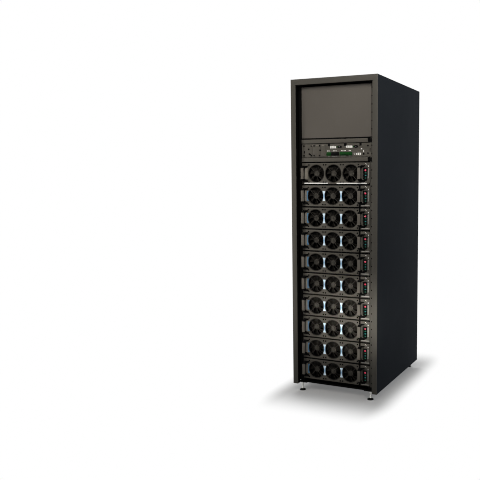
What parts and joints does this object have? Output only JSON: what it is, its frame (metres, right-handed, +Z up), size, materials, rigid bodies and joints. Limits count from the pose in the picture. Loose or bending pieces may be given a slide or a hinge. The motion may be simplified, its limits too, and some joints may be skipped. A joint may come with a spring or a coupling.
{
  "type": "modular ups cabinet",
  "caption": "Floor-standing power cabinet with a stack of withdrawable fan-cooled modules under a control panel and a blank top panel.",
  "frame": {"origin": "on the floor under the middle of the cabinet", "axes": "+X to the right seen from the front, +Y to the back, +Z up"},
  "size_m": [0.6, 0.85, 2.048],
  "materials": {
    "frame_paint": "satin powder coat, warm dark grey",
    "side_paint": "satin powder coat, blue-black",
    "module_paint": "satin powder coat, warm dark grey",
    "dark_steel": "matt black paint",
    "runner_steel": "zinc plated",
    "rotor_plastic": "black glass-filled plastic",
    "terminal_green": "green moulding",
    "black_plastic": "black moulding",
    "bright_steel": "bright plated"
  },
  "bodies": {
    "cabinet": {"front_frame": "frame_paint", "left_side_panel": "side_paint", "right_side_panel": "side_paint", "roof_panel": "side_paint", "rear_panel": "side_paint", "base_pan": "dark_steel", "corner_posts": "dark_steel", "rack_uprights": "dark_steel", "module_runners": "runner_steel", "top_blank_panel": "frame_paint", "upper_cable_cover": "module_paint", "lower_cable_cover": "module_paint", "cover_end_blocks": "black_plastic", "control_panel": "module_paint", "card_slot_covers": "module_paint", "terminal_blocks": "terminal_green", "signal_sockets": "black_plastic", "foot_studs": "bright_steel", "foot_pads": "black_plastic"},
    "bypass_module": {"bypass_module": "module_paint"},
    "bypass_module_rotor_left": {"bypass_module_rotor_left": "rotor_plastic"},
    "bypass_module_rotor_centre": {"bypass_module_rotor_centre": "rotor_plastic"},
    "bypass_module_rotor_right": {"bypass_module_rotor_right": "rotor_plastic"},
    "power_module_01": {"power_module_01": "module_paint"},
    "power_module_01_rotor_left": {"power_module_01_rotor_left": "rotor_plastic"},
    "power_module_01_rotor_centre": {"power_module_01_rotor_centre": "rotor_plastic"},
    "power_module_01_rotor_right": {"power_module_01_rotor_right": "rotor_plastic"},
    "power_module_02": {"power_module_02": "module_paint"},
    "power_module_02_rotor_left": {"power_module_02_rotor_left": "rotor_plastic"},
    "power_module_02_rotor_centre": {"power_module_02_rotor_centre": "rotor_plastic"},
    "power_module_02_rotor_right": {"power_module_02_rotor_right": "rotor_plastic"},
    "power_module_03": {"power_module_03": "module_paint"},
    "power_module_03_rotor_left": {"power_module_03_rotor_left": "rotor_plastic"},
    "power_module_03_rotor_centre": {"power_module_03_rotor_centre": "rotor_plastic"},
    "power_module_03_rotor_right": {"power_module_03_rotor_right": "rotor_plastic"},
    "power_module_04": {"power_module_04": "module_paint"},
    "power_module_04_rotor_left": {"power_module_04_rotor_left": "rotor_plastic"},
    "power_module_04_rotor_centre": {"power_module_04_rotor_centre": "rotor_plastic"},
    "power_module_04_rotor_right": {"power_module_04_rotor_right": "rotor_plastic"},
    "power_module_05": {"power_module_05": "module_paint"},
    "power_module_05_rotor_left": {"power_module_05_rotor_left": "rotor_plastic"},
    "power_module_05_rotor_centre": {"power_module_05_rotor_centre": "rotor_plastic"},
    "power_module_05_rotor_right": {"power_module_05_rotor_right": "rotor_plastic"},
    "power_module_06": {"power_module_06": "module_paint"},
    "power_module_06_rotor_left": {"power_module_06_rotor_left": "rotor_plastic"},
    "power_module_06_rotor_centre": {"power_module_06_rotor_centre": "rotor_plastic"},
    "power_module_06_rotor_right": {"power_module_06_rotor_right": "rotor_plastic"},
    "power_module_07": {"power_module_07": "module_paint"},
    "power_module_07_rotor_left": {"power_module_07_rotor_left": "rotor_plastic"},
    "power_module_07_rotor_centre": {"power_module_07_rotor_centre": "rotor_plastic"},
    "power_module_07_rotor_right": {"power_module_07_rotor_right": "rotor_plastic"},
    "power_module_08": {"power_module_08": "module_paint"},
    "power_module_08_rotor_left": {"power_module_08_rotor_left": "rotor_plastic"},
    "power_module_08_rotor_centre": {"power_module_08_rotor_centre": "rotor_plastic"},
    "power_module_08_rotor_right": {"power_module_08_rotor_right": "rotor_plastic"},
    "power_module_09": {"power_module_09": "module_paint"},
    "power_module_09_rotor_left": {"power_module_09_rotor_left": "rotor_plastic"},
    "power_module_09_rotor_centre": {"power_module_09_rotor_centre": "rotor_plastic"},
    "power_module_09_rotor_right": {"power_module_09_rotor_right": "rotor_plastic"}
  },
  "joints": [
    {"name": "bypass_module_slide", "type": "slide", "parent": "cabinet", "child": "bypass_module", "axis": [0, -1, 0], "range_m": [0, 0.5]},
    {"name": "bypass_module_rotor_left_spin", "type": "hinge", "parent": "bypass_module", "child": "bypass_module_rotor_left", "pos_m": [-0.13525, -0.3845, 1.44821], "axis": [0, -1, 0], "continuous": true},
    {"name": "bypass_module_rotor_centre_spin", "type": "hinge", "parent": "bypass_module", "child": "bypass_module_rotor_centre", "pos_m": [-0.0139, -0.3845, 1.44821], "axis": [0, -1, 0], "continuous": true},
    {"name": "bypass_module_rotor_right_spin", "type": "hinge", "parent": "bypass_module", "child": "bypass_module_rotor_right", "pos_m": [0.10745, -0.3845, 1.44821], "axis": [0, -1, 0], "continuous": true},
    {"name": "power_module_01_slide", "type": "slide", "parent": "cabinet", "child": "power_module_01", "axis": [0, -1, 0], "range_m": [0, 0.5]},
    {"name": "power_module_01_rotor_left_spin", "type": "hinge", "parent": "power_module_01", "child": "power_module_01_rotor_left", "pos_m": [-0.14175, -0.3845, 1.30408], "axis": [0, -1, 0], "continuous": true},
    {"name": "power_module_01_rotor_centre_spin", "type": "hinge", "parent": "power_module_01", "child": "power_module_01_rotor_centre", "pos_m": [-0.0204, -0.3845, 1.30408], "axis": [0, -1, 0], "continuous": true},
    {"name": "power_module_01_rotor_right_spin", "type": "hinge", "parent": "power_module_01", "child": "power_module_01_rotor_right", "pos_m": [0.10096, -0.3845, 1.30408], "axis": [0, -1, 0], "continuous": true},
    {"name": "power_module_02_slide", "type": "slide", "parent": "cabinet", "child": "power_module_02", "axis": [0, -1, 0], "range_m": [0, 0.5]},
    {"name": "power_module_02_rotor_left_spin", "type": "hinge", "parent": "power_module_02", "child": "power_module_02_rotor_left", "pos_m": [-0.14175, -0.3845, 1.15995], "axis": [0, -1, 0], "continuous": true},
    {"name": "power_module_02_rotor_centre_spin", "type": "hinge", "parent": "power_module_02", "child": "power_module_02_rotor_centre", "pos_m": [-0.0204, -0.3845, 1.15995], "axis": [0, -1, 0], "continuous": true},
    {"name": "power_module_02_rotor_right_spin", "type": "hinge", "parent": "power_module_02", "child": "power_module_02_rotor_right", "pos_m": [0.10096, -0.3845, 1.15995], "axis": [0, -1, 0], "continuous": true},
    {"name": "power_module_03_slide", "type": "slide", "parent": "cabinet", "child": "power_module_03", "axis": [0, -1, 0], "range_m": [0, 0.5]},
    {"name": "power_module_03_rotor_left_spin", "type": "hinge", "parent": "power_module_03", "child": "power_module_03_rotor_left", "pos_m": [-0.14175, -0.3845, 1.01583], "axis": [0, -1, 0], "continuous": true},
    {"name": "power_module_03_rotor_centre_spin", "type": "hinge", "parent": "power_module_03", "child": "power_module_03_rotor_centre", "pos_m": [-0.0204, -0.3845, 1.01583], "axis": [0, -1, 0], "continuous": true},
    {"name": "power_module_03_rotor_right_spin", "type": "hinge", "parent": "power_module_03", "child": "power_module_03_rotor_right", "pos_m": [0.10096, -0.3845, 1.01583], "axis": [0, -1, 0], "continuous": true},
    {"name": "power_module_04_slide", "type": "slide", "parent": "cabinet", "child": "power_module_04", "axis": [0, -1, 0], "range_m": [0, 0.5]},
    {"name": "power_module_04_rotor_left_spin", "type": "hinge", "parent": "power_module_04", "child": "power_module_04_rotor_left", "pos_m": [-0.14175, -0.3845, 0.8717], "axis": [0, -1, 0], "continuous": true},
    {"name": "power_module_04_rotor_centre_spin", "type": "hinge", "parent": "power_module_04", "child": "power_module_04_rotor_centre", "pos_m": [-0.0204, -0.3845, 0.8717], "axis": [0, -1, 0], "continuous": true},
    {"name": "power_module_04_rotor_right_spin", "type": "hinge", "parent": "power_module_04", "child": "power_module_04_rotor_right", "pos_m": [0.10096, -0.3845, 0.8717], "axis": [0, -1, 0], "continuous": true},
    {"name": "power_module_05_slide", "type": "slide", "parent": "cabinet", "child": "power_module_05", "axis": [0, -1, 0], "range_m": [0, 0.5]},
    {"name": "power_module_05_rotor_left_spin", "type": "hinge", "parent": "power_module_05", "child": "power_module_05_rotor_left", "pos_m": [-0.14175, -0.3845, 0.72757], "axis": [0, -1, 0], "continuous": true},
    {"name": "power_module_05_rotor_centre_spin", "type": "hinge", "parent": "power_module_05", "child": "power_module_05_rotor_centre", "pos_m": [-0.0204, -0.3845, 0.72757], "axis": [0, -1, 0], "continuous": true},
    {"name": "power_module_05_rotor_right_spin", "type": "hinge", "parent": "power_module_05", "child": "power_module_05_rotor_right", "pos_m": [0.10096, -0.3845, 0.72757], "axis": [0, -1, 0], "continuous": true},
    {"name": "power_module_06_slide", "type": "slide", "parent": "cabinet", "child": "power_module_06", "axis": [0, -1, 0], "range_m": [0, 0.5]},
    {"name": "power_module_06_rotor_left_spin", "type": "hinge", "parent": "power_module_06", "child": "power_module_06_rotor_left", "pos_m": [-0.14175, -0.3845, 0.58344], "axis": [0, -1, 0], "continuous": true},
    {"name": "power_module_06_rotor_centre_spin", "type": "hinge", "parent": "power_module_06", "child": "power_module_06_rotor_centre", "pos_m": [-0.0204, -0.3845, 0.58344], "axis": [0, -1, 0], "continuous": true},
    {"name": "power_module_06_rotor_right_spin", "type": "hinge", "parent": "power_module_06", "child": "power_module_06_rotor_right", "pos_m": [0.10096, -0.3845, 0.58344], "axis": [0, -1, 0], "continuous": true},
    {"name": "power_module_07_slide", "type": "slide", "parent": "cabinet", "child": "power_module_07", "axis": [0, -1, 0], "range_m": [0, 0.5]},
    {"name": "power_module_07_rotor_left_spin", "type": "hinge", "parent": "power_module_07", "child": "power_module_07_rotor_left", "pos_m": [-0.14175, -0.3845, 0.43932], "axis": [0, -1, 0], "continuous": true},
    {"name": "power_module_07_rotor_centre_spin", "type": "hinge", "parent": "power_module_07", "child": "power_module_07_rotor_centre", "pos_m": [-0.0204, -0.3845, 0.43932], "axis": [0, -1, 0], "continuous": true},
    {"name": "power_module_07_rotor_right_spin", "type": "hinge", "parent": "power_module_07", "child": "power_module_07_rotor_right", "pos_m": [0.10096, -0.3845, 0.43932], "axis": [0, -1, 0], "continuous": true},
    {"name": "power_module_08_slide", "type": "slide", "parent": "cabinet", "child": "power_module_08", "axis": [0, -1, 0], "range_m": [0, 0.5]},
    {"name": "power_module_08_rotor_left_spin", "type": "hinge", "parent": "power_module_08", "child": "power_module_08_rotor_left", "pos_m": [-0.14175, -0.3845, 0.29519], "axis": [0, -1, 0], "continuous": true},
    {"name": "power_module_08_rotor_centre_spin", "type": "hinge", "parent": "power_module_08", "child": "power_module_08_rotor_centre", "pos_m": [-0.0204, -0.3845, 0.29519], "axis": [0, -1, 0], "continuous": true},
    {"name": "power_module_08_rotor_right_spin", "type": "hinge", "parent": "power_module_08", "child": "power_module_08_rotor_right", "pos_m": [0.10096, -0.3845, 0.29519], "axis": [0, -1, 0], "continuous": true},
    {"name": "power_module_09_slide", "type": "slide", "parent": "cabinet", "child": "power_module_09", "axis": [0, -1, 0], "range_m": [0, 0.5]},
    {"name": "power_module_09_rotor_left_spin", "type": "hinge", "parent": "power_module_09", "child": "power_module_09_rotor_left", "pos_m": [-0.14175, -0.3845, 0.15106], "axis": [0, -1, 0], "continuous": true},
    {"name": "power_module_09_rotor_centre_spin", "type": "hinge", "parent": "power_module_09", "child": "power_module_09_rotor_centre", "pos_m": [-0.0204, -0.3845, 0.15106], "axis": [0, -1, 0], "continuous": true},
    {"name": "power_module_09_rotor_right_spin", "type": "hinge", "parent": "power_module_09", "child": "power_module_09_rotor_right", "pos_m": [0.10096, -0.3845, 0.15106], "axis": [0, -1, 0], "continuous": true}
  ]
}
